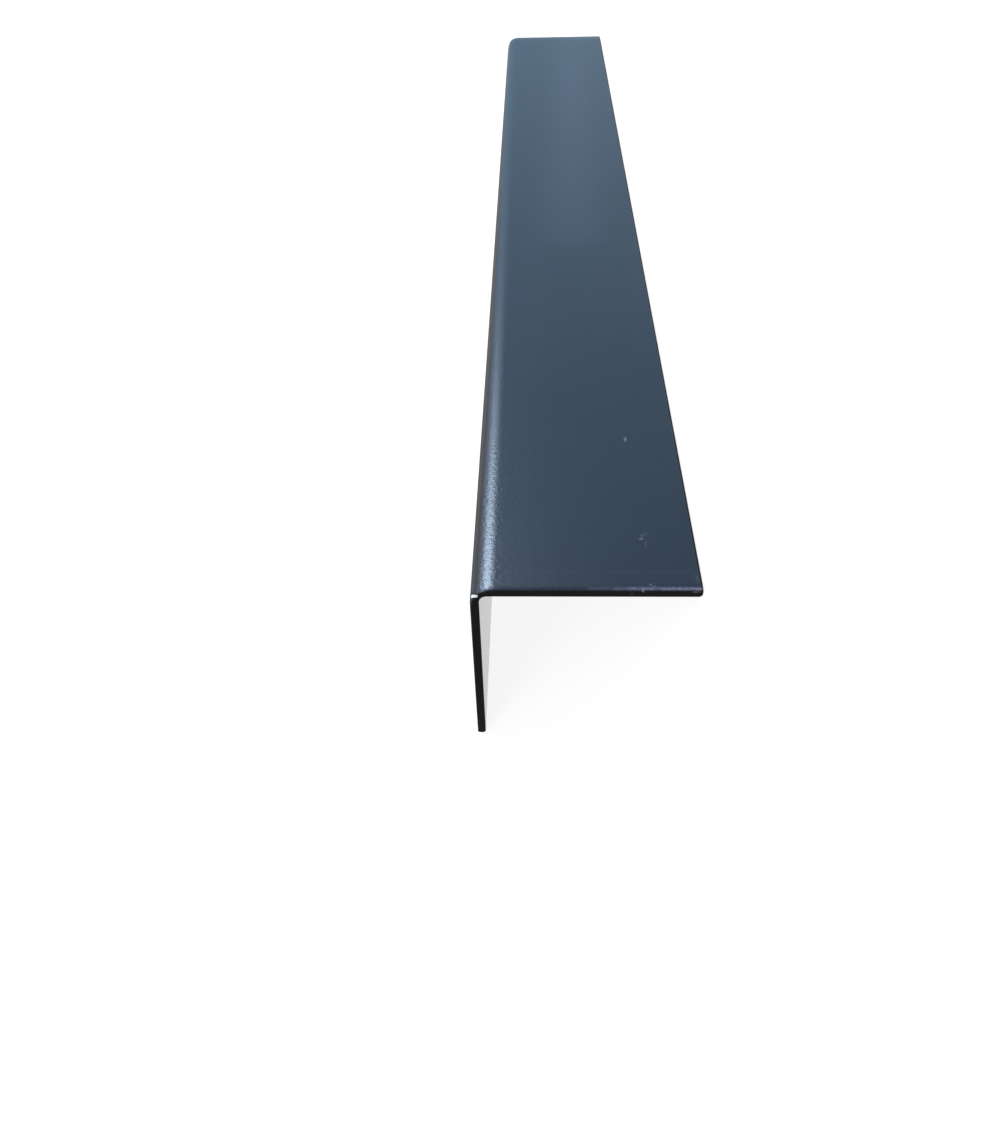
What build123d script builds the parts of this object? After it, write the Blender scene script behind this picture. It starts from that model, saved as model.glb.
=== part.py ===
from build123d import *
from math import atan2, cos, radians, sin, tan
import os

# Folded angle section: one strip of sheet steel with a single press fold between two flat legs.
# Millimetres and degrees. +Y runs along the length, +Z is up.
#
# It rests as a roof: fold uppermost, standing on the inner corners of its two toes.
# The origin lies on the floor, plumb below the outside corner, halfway along the length.

# Driving dimensions
length = 600.0
right_leg = 70.0  # outside corner to toe
left_leg = 70.0  # outside corner to toe
sheet = 3.0
fold_angle = 90.0  # between the two legs
fold_inner_radius = 2.5
fold_thinning = 0.2  # share of the sheet's thickness lost at the middle of the fold
toe_ease = 1.0  # rounding of the long sheared edges
end_ease = 0.4  # rounding of the edges round both cut ends

# The outside of the fold is rounder than its inside and the sheet would make it, by as much
# as thins the wall between them. A corner's point stands corner_reach radii off its rounding.
corner_reach = 1 / sin(radians(fold_angle / 2)) - 1
fold_outer_radius = fold_inner_radius + sheet + fold_thinning * sheet / corner_reach

# The section has axes of its own: outside corner at 0, 0, right leg along +X with its outside
# face at Y = 0, left leg turned down from it by the fold angle. At rest it stands on the
# rounded inner corner of each toe, so the centres of those two roundings are level.
right_seat = Vector(right_leg - toe_ease, toe_ease - sheet)
left_seat = Vector(left_leg - toe_ease, sheet - toe_ease).rotate(Axis.Z, -fold_angle)
seat_line = right_seat - left_seat
rest_tilt = atan2(seat_line.Y, seat_line.X)
corner_height = right_seat.X * sin(rest_tilt) - right_seat.Y * cos(rest_tilt) + toe_ease

section_plane = Plane(
    origin=(0, length / 2, corner_height),
    x_dir=(cos(rest_tilt), 0, -sin(rest_tilt)),
    z_dir=(0, -1, 0),
)

with BuildPart() as angle_section:
    with BuildSketch(section_plane) as section:
        with BuildLine():
            left_toe = Vector(left_leg, 0).rotate(Axis.Z, -fold_angle)
            left_toe_inside = Vector(left_leg, sheet).rotate(Axis.Z, -fold_angle)
            inside_corner = (sheet / tan(radians(fold_angle / 2)), -sheet)
            Polyline(
                left_toe,
                (0, 0),
                (right_leg, 0),
                (right_leg, -sheet),
                inside_corner,
                left_toe_inside,
                close=True,
            )
        make_face()
        # Nearest the outside corner come the two corners of the fold, then the four of the toes.
        fillet(section.vertices().sort_by_distance((0, 0))[2:], toe_ease)
        fillet(section.vertices().sort_by_distance((0, 0))[1], fold_inner_radius)
        fillet(section.vertices().sort_by_distance((0, 0))[0], fold_outer_radius)
    extrude(amount=length)
    cut_ends = angle_section.faces().filter_by(Axis.Y)
    fillet(cut_ends.edges(), end_ease)

angle_section.part.label = "angle_section"

os.makedirs("parts", exist_ok=True)
export_step(angle_section.part, "parts/angle_section.step")
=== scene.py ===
import math

import bpy
import numpy as np
from mathutils import Matrix, Vector


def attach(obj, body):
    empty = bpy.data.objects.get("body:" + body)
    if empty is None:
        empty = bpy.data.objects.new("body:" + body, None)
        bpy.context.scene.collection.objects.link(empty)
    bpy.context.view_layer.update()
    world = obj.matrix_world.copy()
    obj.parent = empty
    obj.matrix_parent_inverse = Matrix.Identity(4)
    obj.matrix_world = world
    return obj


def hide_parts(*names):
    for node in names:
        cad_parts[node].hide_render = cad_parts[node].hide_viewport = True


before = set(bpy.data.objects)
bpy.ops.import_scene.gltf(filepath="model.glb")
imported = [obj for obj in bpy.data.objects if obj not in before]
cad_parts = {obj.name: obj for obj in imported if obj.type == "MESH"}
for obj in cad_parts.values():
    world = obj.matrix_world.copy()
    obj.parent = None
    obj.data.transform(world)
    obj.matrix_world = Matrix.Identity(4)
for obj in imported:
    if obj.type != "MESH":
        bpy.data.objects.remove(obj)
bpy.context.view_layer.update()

mm = 0.001  # in metres


def linearColour(hexText):
    parts = [int(hexText[i:i + 2], 16) / 255 for i in (1, 3, 5)]
    linear = [p / 12.92 if p <= 0.04045 else ((p + 0.055) / 1.055) ** 2.4 for p in parts]
    return (*linear, 1.0)


def perMillimetres(size):
    return 1000.0 / size  # noise scale whose grain is about this many millimetres


def addNode(tree, kind, settings=None, values=None, links=None):
    node = tree.nodes.new(kind)
    for key, value in (settings or {}).items():
        setattr(node, key, value)
    for key, value in (values or {}).items():
        node.inputs[key].default_value = value
    for key, source in (links or {}).items():
        tree.links.new(source, node.inputs[key])
    return node


def newMaterial(name):
    material = bpy.data.materials.new(name)
    material.use_nodes = True
    material.node_tree.nodes.clear()
    return material, material.node_tree


# The camera stands close to the near end, above the right leg, and is tipped half over with it.
cameraSetup = {
    "place": (0.15303, -0.49996, 0.17695),  # metres
    "right": (0.690234, 0.025948, -0.723124),
    "up": (0.517107, 0.681350, 0.518037),
    "lens": 30.19,  # mm
    "sensor": 36.0,  # mm
    "clip": (0.01, 60.0),  # metres
}


def makeCamera(setup):
    data = bpy.data.cameras.new("viewCamera")
    data.sensor_width = setup["sensor"]
    data.lens = setup["lens"]
    data.clip_start, data.clip_end = setup["clip"]
    camera = bpy.data.objects.new("viewCamera", data)
    right = Vector(setup["right"]).normalized()
    up = Vector(setup["up"])
    up = (up - right * up.dot(right)).normalized()
    back = right.cross(up)
    turn = Matrix((right, up, back)).transposed().to_4x4()
    camera.matrix_world = Matrix.Translation(setup["place"]) @ turn
    bpy.context.scene.collection.objects.link(camera)
    bpy.context.scene.camera = camera
    print("camera placed")


makeCamera(cameraSetup)


# The folded angle is one swept mesh. Each ring goes round the whole section, and outer and inner
# points stand in pairs across the sheet, so that the cut ends close in rows of quads.
# u runs along the right leg from the outside corner, v up out of its face, y from the near end.
angle = {
    "length": 600.0,  # all in millimetres
    "leg": 70.0,
    "sheet": 3.0,
    "foldInner": 2.5,
    "toeEase": 1.0,
    "shoulderRadius": 10.16,  # the outside of the fold opens out towards the legs
    "shoulderTurn": 34.0,  # degrees of the turn that each shoulder makes
    "foldMiddle": 2.0352,  # the middle of the fold lies this far in from both outer faces
    "stretchReach": 3.0,  # the stretched coat fades out over this length past the fold
    "rollover": (0.6, 0.1),  # the shear's rounding of the outer edge: along y, into the sheet
    "burrSide": (0.05, 0.05),  # the same for the inner edge
    "endDip": (2.6, 0.36),  # the sheet sinks a little towards the cut: along y, into the sheet
    "foldSteps": 52,  # on each half of the fold
    "tightShare": 0.4,  # of those, the share on the tight arc in the middle
    "toeSteps": 6,  # round each edge of a toe
    "bareToeRows": 6,  # rows of points next to a toe's tip, between which there is no coat
    "endSteps": 7,
    "acrossCut": 10,  # quads through the thickness of a cut end
    "holdRow": 0.12,  # narrow rows beside each rounding keep the flats flat
    "rightColumn": 0.4,  # spacing along the right leg, where the marks are
    "leftColumn": 2.5,  # and along the left leg
    "nearRings": ((9.0, 0.4), (34.0, 0.8), (80.0, 2.0)),  # up to this y, rings this far apart
    "farRing": 9.0,  # and from there to the far end
    # Each mark runs from one (u, v, y) to another, with its radius and depth. A rub or a painted
    # highlight also has the share by which it pales the skin.
    "chips": [
        ((2.3, -2.85, 0.0), (0.45, -4.6, 1.7), 0.9, 0.1),  # down to the primer
    ],
    "rubsAndPaintedHighlights": [
        # a painted highlight along the near edge, where its rounding catches the light, with a
        # slight dent; paler towards the toe
        ((36.0, -0.2, 0.7), (69.0, -0.2, 0.7), 1.0, 0.0, 0.13),
        ((43.5, -0.2, 0.7), (69.0, -0.2, 0.7), 1.0, 0.01, 0.26),
        ((47.5, -0.2, 0.7), (69.2, -0.2, 0.7), 1.0, 0.02, 0.44),
        ((58.0, -0.2, 0.65), (69.2, -0.2, 0.65), 0.9, 0.02, 0.58),
        # small knocks on that edge and beside it
        ((52.0, -0.2, 0.5), (52.0, -0.7, 0.0), 0.6, 0.05, 1.0),
        ((49.8, 0.0, 1.0), (49.8, 0.0, 1.0), 0.5, 0.03, 0.4),
        ((54.3, 0.0, 2.3), (54.4, 0.0, 2.1), 0.55, 0.03, 0.55),
        ((55.3, 0.0, 1.4), (55.3, 0.0, 1.4), 0.55, 0.03, 0.75),
        # two on the cut face
        ((48.8, -1.7, 0.0), (48.8, -1.8, 0.0), 0.5, 0.03, 0.2),
        ((66.9, -0.9, 0.0), (68.6, -0.9, 0.0), 0.55, 0.02, 0.4),
        # a speck, then a scuff of three strokes, on the flat of the leg
        ((52.0, 0.0, 75.9), (52.0, 0.0, 76.5), 0.6, 0.02, 0.85),
        ((52.8, 0.0, 22.65), (53.7, 0.0, 22.65), 0.45, 0.02, 0.42),
        ((53.4, 0.0, 24.2), (54.9, 0.0, 25.1), 0.4, 0.02, 0.3),
        ((54.45, 0.0, 21.2), (54.3, 0.0, 18.9), 0.4, 0.01, 0.2),
        # a speck by the fold, and round the chip a painted highlight where the fold's rolled edge
        # catches the light
        ((12.5, 0.0, 2.4), (12.5, 0.0, 2.4), 0.5, 0.02, 0.18),
        ((2.7, -1.5, 0.6), (3.8, -0.8, 0.75), 0.5, 0.0, 0.25),
        ((3.8, -0.8, 0.75), (5.4, -0.2, 1.2), 0.7, 0.0, 0.35),
        # by the toe, a thin line across the leg, and in its far half a wide faint paler patch that
        # paints the leg's broad sheen
        ((68.5, 0.0, 3.0), (68.4, 0.0, 6.3), 0.8, 0.0, 0.08),
        ((12.0, 0.0, 7.2), (69.0, 0.0, 7.4), 0.35, 0.0, 0.05),
        ((38.0, 0.0, 250.0), (48.0, 0.0, 590.0), 26.0, 0.0, 0.05),
    ],
}


def evenSteps(start, end, step):
    count = max(1, int(round(abs(end - start) / step)))
    return [start + (end - start) * i / count for i in range(count + 1)]


def foldCurve(spec):
    # Half of the fold's outside, from its middle to the right leg: a tight arc, then a wider one.
    # The tight arc's radius follows from where the middle of the fold lies.
    wide, middle = spec["shoulderRadius"], spec["foldMiddle"]
    turn, half = math.radians(spec["shoulderTurn"]), math.pi / 4
    drop = wide * (1 - math.cos(turn))
    tight = (middle - drop) / (math.cos(turn) - math.cos(half))
    inTight = middle + tight * math.sin(half)  # u of the tight arc's centre
    end = inTight + (wide - tight) * math.sin(turn)
    tightSteps = round(spec["foldSteps"] * spec["tightShare"])
    turns = np.concatenate((np.linspace(half, turn, tightSteps, endpoint=False),
                            np.linspace(turn, 0.0, spec["foldSteps"] - tightSteps + 1)))
    isWide = turns <= turn
    u = np.where(isWide, end - wide * np.sin(turns), inTight - tight * np.sin(turns))
    depth = np.where(isWide, wide * (1 - np.cos(turns)),
                     drop + tight * (math.cos(turn) - np.cos(turns)))
    return u, -depth, turns


def legRows(spec, start, step):
    # The right leg from the end of the fold to its toe. A row holds the outer point, its normal,
    # the inner point, its normal, and 1 where the toe's sheared steel is bare.
    sheet, ease, hold = spec["sheet"], spec["toeEase"], spec["holdRow"]
    last = spec["leg"] - ease
    rows = [(u, 0.0, 0.0, 1.0, u, -sheet, 0.0, -1.0, 0)
            for u in evenSteps(start, last - hold, step) + [last]]
    for i in range(1, spec["toeSteps"] + 1):
        turn = math.pi / 2 * i / spec["toeSteps"]
        sin, cos = math.sin(turn), math.cos(turn)
        bare = 1 if i > spec["toeSteps"] - spec["bareToeRows"] else 0
        rows.append((last + ease * sin, -ease + ease * cos, sin, cos,
                     last + ease * sin, ease - sheet - ease * cos, sin, -cos, bare))
    return rows


def foldRows(spec, curve):
    # The right half of the fold. An inner point stands where the line from the outer one to the
    # centre of the inner arc meets that arc, and straight across the sheet past its end.
    radius = spec["foldInner"]
    centre = spec["sheet"] + radius
    rows = []
    for u, v, turn in zip(*curve):
        outer = (u, v, -math.sin(turn), math.cos(turn))
        if u < centre:
            lean = math.atan2(centre - u, v + centre)
            sin, cos = math.sin(lean), math.cos(lean)
            inner = (centre - radius * sin, -centre + radius * cos, sin, -cos)
        else:
            inner = (u, -spec["sheet"], 0.0, -1.0)
        rows.append((*outer, *inner, 0))
    return rows


def mirrorRow(row):
    # The left leg is the right one mirrored in the line u = -v, so each u and v change places.
    swapped = [-row[k] for k in (1, 0, 3, 2, 5, 4, 7, 6)]
    return (*swapped, row[8])


def sectionRows(spec):
    curve = foldCurve(spec)
    fold = foldRows(spec, curve)
    start = curve[0][-1]
    right = fold + legRows(spec, start, spec["rightColumn"])[1:]
    left = [mirrorRow(row) for row in fold[1:] + legRows(spec, start, spec["leftColumn"])[1:]]
    return np.array(left[::-1] + right)


def stationList(spec):
    # Each ring as (distance from the near end, turn of the end rounding), turn 1 on the flats.
    length = spec["length"]
    turns = [i / spec["endSteps"] for i in range(spec["endSteps"] + 1)]
    clear = max(spec["rollover"][0], spec["burrSide"][0]) + spec["holdRow"]
    run = [clear]
    for end, step in (*spec["nearRings"], (length - clear, spec["farRing"])):
        run += evenSteps(run[-1], end, step)[1:]
    near = [(0.0, t) for t in turns]
    far = [(length, t) for t in reversed(turns)]
    return near + [(y, 1.0) for y in run] + far


def smoothBump(distance):
    # 1 at no distance, falling smoothly to 0 at a distance of 1.
    t = np.clip(1.0 - distance, 0.0, 1.0)
    return t * t * (3 - 2 * t)


def insideShare(spec, pairs):
    # 0 on the outside of the section and 1 on the inside, with half of each round the toes.
    share = np.concatenate((np.zeros(pairs), np.ones(pairs)))
    toe = spec["toeSteps"]
    share[:toe] = share[pairs - toe:pairs + toe] = share[-toe:] = 0.5
    return share


def sweepRings(spec, stations, outline, normals, inside):
    # The section at each station, with the way out of the skin at each point. At the ends the
    # outside sinks towards the cut and rolls over into it, and the inside has the burr's edge.
    deep, drawn = (spec["rollover"][k] * (1 - inside) + spec["burrSide"][k] * inside
                   for k in (0, 1))
    dipReach, dipDepth = spec["endDip"]
    points, pushes = [], []
    for y, turn in stations:
        sin, cos = math.sin(math.pi / 2 * turn), math.cos(math.pi / 2 * turn)
        sign = -1.0 if y < spec["length"] / 2 else 1.0
        atCut = y in (0.0, spec["length"])
        shift = deep * (1 - cos) if atCut else np.zeros(len(outline))
        fromCut = min(y, spec["length"] - y) + shift
        dip = dipDepth * np.clip(1 - fromCut / dipReach, 0.0, 1.0) ** 2 * (1 - inside)
        ring = outline - normals * (drawn * (1 - sin) + dip)[:, None]
        points.append(np.column_stack((ring, y - sign * shift)))
        pushes.append(np.column_stack((normals * sin, np.full(len(outline), sign * cos))))
    return points, pushes


def sweepFaces(spec, ringCount, bareToe):
    # Material slots: 0 coat, 1 sheared steel with painted shade, 2 the smoother coat inside.
    faces, slots = [], []
    around = len(bareToe)
    lastEnd = ringCount - 1 - spec["endSteps"]
    for ring in range(ringCount - 1):
        here, ahead = ring * around, (ring + 1) * around
        atEnd = ring < spec["endSteps"] or ring >= lastEnd
        for i in range(around):
            j = (i + 1) % around
            faces.append((here + i, here + j, ahead + j, ahead + i))
            inside = around // 2 <= i < around - 1
            bare = (bareToe[i] and bareToe[j]) or (atEnd and inside)
            slots.append(1 if bare else 2 if inside else 0)
    return faces, slots


def capEnd(ring, ringStart, firstNew, across, sign):
    # The points between the pairs of one end ring, and the faces that close that cut end.
    pairs = len(ring) // 2
    grid = np.zeros((pairs, across + 1), int)
    grid[:, 0] = ringStart + np.arange(pairs)
    grid[:, across] = ringStart + 2 * pairs - 1 - np.arange(pairs)
    between = []
    for k in range(1, across):
        share = k / across
        row = ring[:pairs] * (1 - share) + ring[::-1][:pairs] * share
        between.append(row[1:-1])
        grid[1:-1, k] = firstNew + (k - 1) * (pairs - 2) + np.arange(pairs - 2)
    # The flat of a toe is one quad wide, so a cut end meets it with one wider face.
    cap = [(grid[0, 0], grid[0, across], *grid[1, ::-1]),
           (*grid[-2], grid[-1, across], grid[-1, 0])]
    cap += [(grid[i, k], grid[i, k + 1], grid[i + 1, k + 1], grid[i + 1, k])
            for i in range(1, pairs - 2) for k in range(across)]
    return np.vstack(between), [face if sign < 0 else face[::-1] for face in cap]


def buildAngle(spec):
    rows = sectionRows(spec)
    outline = np.vstack((rows[:, 0:2], rows[::-1, 4:6]))
    normals = np.vstack((rows[:, 2:4], rows[::-1, 6:8]))
    bareToe = np.concatenate((rows[:, 8], rows[::-1, 8]))
    inside = insideShare(spec, len(rows))
    stations = stationList(spec)
    points, pushes = sweepRings(spec, stations, outline, normals, inside)
    faces, slots = sweepFaces(spec, len(stations), bareToe)
    # How far each point lies past the end of the fold's curve, on either leg.
    pastFold = np.maximum(outline[:, 0], -outline[:, 1]) - foldCurve(spec)[0][-1]
    stretch = smoothBump(np.maximum(pastFold, 0.0) / spec["stretchReach"]) * (1 - inside)
    stretched = [stretch] * len(stations)

    total = len(stations) * len(outline)
    for ringIndex, sign in ((0, -1.0), (len(stations) - 1, 1.0)):
        between, cap = capEnd(points[ringIndex], ringIndex * len(outline), total,
                              spec["acrossCut"], sign)
        points.append(between)
        pushes.append(np.tile((0.0, 0.0, sign), (len(between), 1)))
        stretched.append(np.zeros(len(between)))
        total += len(between)
        faces += cap
        slots += [1] * len(cap)
    return np.vstack(points), np.vstack(pushes), np.concatenate(stretched), faces, slots


def markMask(points, start, end, radius):
    # How strongly each point is marked: 1 on the line from start to end, 0 past the radius.
    start, end = np.array(start), np.array(end)
    along = end - start
    squared = max(along @ along, 1e-9)  # a mark may also be a single spot
    share = np.clip((points - start) @ along / squared, 0.0, 1.0)
    gap = points - start - share[:, None] * along
    return smoothBump(np.sqrt((gap ** 2).sum(axis=1)) / radius)


def wearAngle(spec, points, pushes):
    chip = np.zeros(len(points))
    rubAndHighlight = np.zeros(len(points))
    worn = points.copy()
    for start, end, radius, depth in spec["chips"]:
        mask = markMask(points, start, end, radius)
        worn -= pushes * (mask * depth)[:, None]
        chip = np.maximum(chip, mask)
    for start, end, radius, depth, paler in spec["rubsAndPaintedHighlights"]:
        mask = markMask(points, start, end, radius)
        worn -= pushes * (mask * depth)[:, None]
        rubAndHighlight = np.maximum(rubAndHighlight, mask * paler)
    return worn, chip, rubAndHighlight


def placeAngle(spec):
    points, pushes, stretched, faces, slots = buildAngle(spec)
    points, chip, rubAndHighlight = wearAngle(spec, points, pushes)
    # It rests on the roundings of its two toes, turned by 45 degrees with the fold up.
    ease, root = spec["toeEase"], math.sqrt(2)
    corner = (spec["leg"] + spec["sheet"] - 2 * ease) / root + ease  # height of the outside corner
    u, v, y = points.T
    world = np.column_stack(((u + v) / root, y - spec["length"] / 2, (v - u) / root + corner)) * mm
    mesh = bpy.data.meshes.new("foldedAngle")
    mesh.from_pydata([tuple(p) for p in world], [], [tuple(int(i) for i in f) for f in faces])
    mesh.validate()
    mesh.polygons.foreach_set("material_index", slots)
    mesh.polygons.foreach_set("use_smooth", [True] * len(faces))
    for name, values in (("chipped", chip), ("rubbedAndHighlit", rubAndHighlight), ("stretched", stretched)):
        mesh.attributes.new(name, "FLOAT", "POINT").data.foreach_set("value", values)
    piece = bpy.data.objects.new("foldedAngle", mesh)
    bpy.context.scene.collection.objects.link(piece)
    print(f"folded angle built: {len(faces)} faces")
    return piece


foldedAngle = placeAngle(angle)


# Powder coat on sheet steel, sprayed as powder and baked: a slate blue skin with a soft sheen and
# the shallow dimples of orange peel. Folding the sheet stretched it over the outside of the fold,
# where it is rougher and breaks a highlight into specks. The inside of the fold is smoother.
coatLook = {
    "colour": "#1f2936",
    "colourShade": "#1a232e",
    "mottle": (14.0, 3.0),  # size in mm, detail
    # the paler colour of rubbed spots and of painted highlights on the coat
    "rubbedAndHighlit": "#8c8ca8",
    "roughness": 0.32,
    "insideRoughness": 0.12,
    "ior": 1.5,
    "peel": (1.6, 0.055, 2.0),  # size and depth in mm, detail
    "grain": (0.4, 0.009, 1.0),
    "craze": (1.05, 0.09, 3.0),
    "primer": "#fbf8f4",
    "primerRoughness": 0.5,
    "chipEdge": (0.35, 0.55),  # the skin ends between these shares of the chip's mark
}

# Steel cut on a guillotine: nearly black and dull, with fine drag lines. Its near-black colour is
# partly the darkened steel and partly painted shade of the cut faces.
endLook = {
    "colour": "#10100f",
    # the paler colour of rubbed spots and of painted highlights on the cut steel
    "rubbedAndHighlit": "#8c8a7e",
    "roughness": 0.6,
    "specular": 0.08,
    "dragLines": (0.35, 0.02, 2.0),  # size and depth in mm, detail
}

# A rub touched the high spots of a skin more than the rest, so it is uneven; the painted highlights
# drawn with the rubs are broken up the same way.
rubAndHighlightSpots = {
    "pattern": (0.8, 2.0),  # size in mm, detail
    "noise": (0.3, 0.7),
    "strength": (0.55, 1.35),  # of the rub, at those two levels of the noise
}


def noiseBump(tree, where, relief, before=None, share=None):
    size, depth, detail = relief
    noise = addNode(tree, "ShaderNodeTexNoise", None,
                    {"Scale": perMillimetres(size), "Detail": detail}, {"Vector": where})
    links = {"Height": noise.outputs["Fac"]}
    if before:
        links["Normal"] = before
    if share:
        links["Strength"] = share
    return addNode(tree, "ShaderNodeBump", None, {"Strength": 1.0, "Distance": depth * mm},
                   links).outputs["Normal"]


# Pales the skin where it is rubbed, and where a highlight is painted on it.
def rubbedAndHighlitColour(tree, where, colour, rubbedAndHighlit):
    mask = addNode(tree, "ShaderNodeAttribute", {"attribute_name": "rubbedAndHighlit"})
    size, detail = rubAndHighlightSpots["pattern"]
    spots = addNode(tree, "ShaderNodeTexNoise", None,
                    {"Scale": perMillimetres(size), "Detail": detail}, {"Vector": where})
    (low, high), (weak, strong) = rubAndHighlightSpots["noise"], rubAndHighlightSpots["strength"]
    uneven = addNode(tree, "ShaderNodeMapRange", None,
                     {"From Min": low, "From Max": high, "To Min": weak, "To Max": strong},
                     {"Value": spots.outputs["Fac"]})
    share = addNode(tree, "ShaderNodeMath", {"operation": "MULTIPLY"}, None,
                    {0: mask.outputs["Fac"], 1: uneven.outputs[0]})
    return addNode(tree, "ShaderNodeMix", {"data_type": "RGBA"}, {7: linearColour(rubbedAndHighlit)},
                   {0: share.outputs[0], 6: colour}).outputs[2]


def chippedToPrimer(tree, skin, look):
    primer = addNode(tree, "ShaderNodeBsdfPrincipled", None,
                     {"Base Color": linearColour(look["primer"]),
                      "Roughness": look["primerRoughness"]})
    chip = addNode(tree, "ShaderNodeAttribute", {"attribute_name": "chipped"})
    edge, bottom = look["chipEdge"]
    crisp = addNode(tree, "ShaderNodeMapRange", None, {"From Min": edge, "From Max": bottom},
                    {"Value": chip.outputs["Fac"]})
    both = addNode(tree, "ShaderNodeMixShader", None, None,
                   {0: crisp.outputs[0], 1: skin.outputs[0], 2: primer.outputs[0]})
    addNode(tree, "ShaderNodeOutputMaterial", None, None, {"Surface": both.outputs[0]})


def powderCoat(name, look, roughness):
    material, tree = newMaterial(name)
    where = addNode(tree, "ShaderNodeTexCoord").outputs["Object"]
    size, detail = look["mottle"]
    mottle = addNode(tree, "ShaderNodeTexNoise", None,
                     {"Scale": perMillimetres(size), "Detail": detail}, {"Vector": where})
    colour = addNode(tree, "ShaderNodeMix", {"data_type": "RGBA"},
                     {6: linearColour(look["colour"]), 7: linearColour(look["colourShade"])},
                     {0: mottle.outputs["Fac"]})
    peel = noiseBump(tree, where, look["peel"])
    grain = noiseBump(tree, where, look["grain"], peel)
    onFold = addNode(tree, "ShaderNodeAttribute", {"attribute_name": "stretched"}).outputs["Fac"]
    crazed = noiseBump(tree, where, look["craze"], grain, onFold)
    skin = addNode(tree, "ShaderNodeBsdfPrincipled", None,
                   {"Roughness": roughness, "IOR": look["ior"]},
                   {"Base Color": rubbedAndHighlitColour(tree, where, colour.outputs[2], look["rubbedAndHighlit"]),
                    "Normal": crazed})
    chippedToPrimer(tree, skin, look)
    return material


def shearedSteelWithShade(name, look, coat):
    material, tree = newMaterial(name)
    where = addNode(tree, "ShaderNodeTexCoord").outputs["Object"]
    plain = addNode(tree, "ShaderNodeRGB")
    plain.outputs[0].default_value = linearColour(look["colour"])
    skin = addNode(tree, "ShaderNodeBsdfPrincipled", None,
                   {"Roughness": look["roughness"], "Specular IOR Level": look["specular"]},
                   {"Base Color": rubbedAndHighlitColour(tree, where, plain.outputs[0], look["rubbedAndHighlit"]),
                    "Normal": noiseBump(tree, where, look["dragLines"])})
    chippedToPrimer(tree, skin, coat)
    return material


for finish in (powderCoat("powderCoatSlate", coatLook, coatLook["roughness"]),
               shearedSteelWithShade("shearedSteelDarkAndShaded", endLook, coatLook),
               powderCoat("powderCoatSlateInside", coatLook, coatLook["insideRoughness"])):
    foldedAngle.data.materials.append(finish)
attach(foldedAngle, "root")
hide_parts("angle_section")
print("materials set")


# A white floor that runs on into a white room. The eye, gloss and glass see both nearly white, and
# as light on the piece they are dimmer.
studio = {
    "floorSize": 40.0,  # metres
    "floorColour": "#d8d8d8",  # as the light sees it
    "floorGlow": 0.9,  # what the eye sees of the floor even in shadow
    "floorVeil": "#7c7c7c",  # and how far the lamps add to that
    "shadowReach": (0.45, 1.1),  # metres: past these the floor is plain white to the eye
    "roomLevel": 0.4,  # the world as a light
}


def seenDirectly(tree):
    # 1 for a ray from the camera, or one that gloss or glass sends on.
    path = addNode(tree, "ShaderNodeLightPath")
    first = addNode(tree, "ShaderNodeMath", {"operation": "MAXIMUM"}, None,
                    {0: path.outputs["Is Camera Ray"], 1: path.outputs["Is Glossy Ray"]})
    return addNode(tree, "ShaderNodeMath", {"operation": "MAXIMUM"}, None,
                   {0: first.outputs[0], 1: path.outputs["Is Transmission Ray"]}).outputs[0]


def floorMaterial(look):
    material, tree = newMaterial("studioFloor")
    paper = addNode(tree, "ShaderNodeBsdfDiffuse", None,
                    {"Color": linearColour(look["floorColour"])})
    veil = addNode(tree, "ShaderNodeBsdfDiffuse", None, {"Color": linearColour(look["floorVeil"])})
    glow = addNode(tree, "ShaderNodeEmission", None, {"Strength": look["floorGlow"]})
    shown = addNode(tree, "ShaderNodeAddShader", None, None,
                    {0: veil.outputs[0], 1: glow.outputs[0]})
    where = addNode(tree, "ShaderNodeTexCoord").outputs["Object"]
    away = addNode(tree, "ShaderNodeVectorMath", {"operation": "LENGTH"}, None, {0: where})
    near, far = look["shadowReach"]
    fade = addNode(tree, "ShaderNodeMapRange", {"interpolation_type": "SMOOTHSTEP"},
                   {"From Min": near, "From Max": far}, {"Value": away.outputs["Value"]})
    plain = addNode(tree, "ShaderNodeEmission", None, {"Strength": 1.0})
    seen = addNode(tree, "ShaderNodeMixShader", None, None,
                   {0: fade.outputs[0], 1: shown.outputs[0], 2: plain.outputs[0]})
    both = addNode(tree, "ShaderNodeMixShader", None, None,
                   {0: seenDirectly(tree), 1: paper.outputs[0], 2: seen.outputs[0]})
    addNode(tree, "ShaderNodeOutputMaterial", None, None, {"Surface": both.outputs[0]})
    return material


def makeFloor(look):
    half = look["floorSize"] / 2
    mesh = bpy.data.meshes.new("floor")
    mesh.from_pydata([(-half, -half, 0), (half, -half, 0), (half, half, 0), (-half, half, 0)], [],
                     [(0, 1, 2, 3)])
    floor = bpy.data.objects.new("floor", mesh)
    bpy.context.scene.collection.objects.link(floor)
    mesh.materials.append(floorMaterial(look))


def makeWorld(look):
    world = bpy.data.worlds.new("studioRoom")
    bpy.context.scene.world = world
    world.use_nodes = True
    tree = world.node_tree
    tree.nodes.clear()
    strength = addNode(tree, "ShaderNodeMapRange", None,
                       {"To Min": look["roomLevel"], "To Max": 1.0}, {"Value": seenDirectly(tree)})
    back = addNode(tree, "ShaderNodeBackground", None, {"Color": linearColour("#ffffff")},
                   {"Strength": strength.outputs[0]})
    addNode(tree, "ShaderNodeOutputWorld", None, None, {"Surface": back.outputs[0]})


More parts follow.
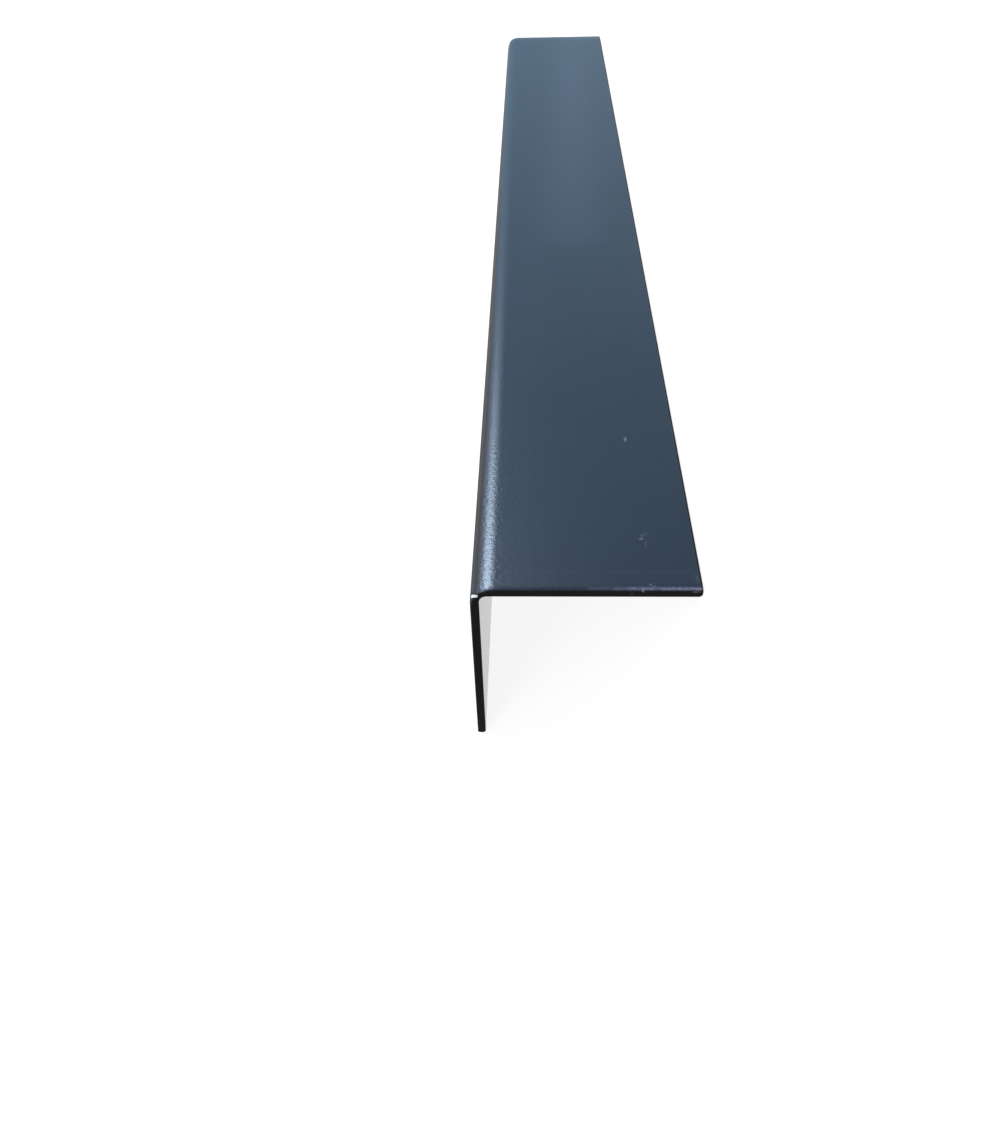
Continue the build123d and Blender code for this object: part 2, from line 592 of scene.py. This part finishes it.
# Cards that only the gloss of the piece sees. Bent round it stand a cool and a grey one behind, two
# dim ones that the left of the fold shows, and a high dim one to the right and in front that the
# dip at the cut shows. One more lies on the floor beside the left leg.
cards = {
    "centre": (0.0, -0.2),  # metres
    "facet": 5.0,  # degrees
    "ring": {
        # name: from and to this many degrees off the far end, how many degrees of the view it
        # fills above the floor, radius in metres, its light at the floor and at the top
        "coolCard": (-16.0, 40.0, 36.0, 6.0, "#b6dbf2", "#8eb0d3"),
        "greyCard": (40.0, 65.0, 36.0, 6.0, "#b5cde1", "#8ea4c2"),
        "dimCard": (-54.0, -16.0, 36.0, 6.0, "#bfb4a2", "#978e80"),
        "edgeCard": (-84.0, -54.0, 36.0, 6.0, "#7c7567", "#615b50"),
        "sideCard": (48.0, 190.0, 66.0, 6.3, "#888592", "#797681"),
    },
    "onFloor": ((-0.60, -0.40), (-0.055, 1.20), 0.001, "#655f55"),  # corners, height, its light
}


def placeCard(name, material, points, faces):
    mesh = bpy.data.meshes.new(name)
    mesh.from_pydata(points, [], faces)
    mesh.materials.append(material)
    board = bpy.data.objects.new(name, mesh)
    bpy.context.scene.collection.objects.link(board)
    board.visible_camera = False
    board.visible_diffuse = False
    board.visible_shadow = False


def makeFloorCard(low, high, z, light):
    material, tree = newMaterial("floorCard")
    glow = addNode(tree, "ShaderNodeEmission", None, {"Color": linearColour(light)})
    addNode(tree, "ShaderNodeOutputMaterial", None, None, {"Surface": glow.outputs[0]})
    placeCard("floorCard", material, [(low[0], low[1], z), (high[0], low[1], z),
                                      (high[0], high[1], z), (low[0], high[1], z)],
              [(0, 1, 2, 3)])


def makeRingCard(look, name, fromTurn, toTurn, rise, radius, floorLight, topLight):
    high = radius * math.tan(math.radians(rise))
    material, tree = newMaterial(name)
    where = addNode(tree, "ShaderNodeTexCoord").outputs["Object"]
    parts = addNode(tree, "ShaderNodeSeparateXYZ", None, None, {0: where})
    climb = addNode(tree, "ShaderNodeMapRange", None, {"From Max": high},
                    {"Value": parts.outputs["Z"]})
    light = addNode(tree, "ShaderNodeMix", {"data_type": "RGBA"},
                    {6: linearColour(floorLight), 7: linearColour(topLight)},
                    {0: climb.outputs[0]})
    glow = addNode(tree, "ShaderNodeEmission", None, None, {"Color": light.outputs[2]})
    addNode(tree, "ShaderNodeOutputMaterial", None, None, {"Surface": glow.outputs[0]})
    x, y = look["centre"]
    turns = [math.radians(t) for t in evenSteps(fromTurn, toTurn, look["facet"])]
    foot = [(x + radius * math.sin(t), y + radius * math.cos(t)) for t in turns]
    placeCard(name, material, [(px, py, z) for z in (0.0, high) for px, py in foot],
              [(i, i + 1, len(foot) + i + 1, len(foot) + i) for i in range(len(foot) - 1)])


lamps = {
    # name: place, aimed at, width, height (metres), radiance, colour, seen in the gloss
    "stripSoftbox": ((0.235, 0.465, 0.990), (0.0, -0.25, 0.05), 0.490, 0.460, 25.0, "#cde5ff",
                     True),
    "topSoftbox": ((1.05, 0.0, 1.10), (0.0, -0.05, 0.03), 1.0, 1.0, 0.5, "#f4f7ff", False),
    "fillSoftbox": ((-0.8, -1.3, 0.7), (0.0, -0.2, 0.03), 1.2, 0.8, 2.2, "#ffffff", False),
}


def makeLamp(name, place, aim, width, height, radiance, colour, inGloss):
    data = bpy.data.lights.new(name, "AREA")
    data.shape = "RECTANGLE"
    data.size = width
    data.size_y = height
    data.energy = radiance * math.pi * width * height
    data.color = linearColour(colour)[:3]
    lamp = bpy.data.objects.new(name, data)
    lamp.location = place
    lamp.visible_glossy = inGloss
    lamp.rotation_mode = "QUATERNION"
    lamp.rotation_quaternion = (Vector(aim) - Vector(place)).to_track_quat("-Z", "Y")
    bpy.context.scene.collection.objects.link(lamp)


makeFloor(studio)
makeWorld(studio)
makeFloorCard(*cards["onFloor"])
for cardName, cardSetup in cards["ring"].items():
    makeRingCard(cards, cardName, *cardSetup)
for lampName, lampSetup in lamps.items():
    makeLamp(lampName, *lampSetup)
bpy.context.scene.view_settings.view_transform = "Standard"
print("studio set")
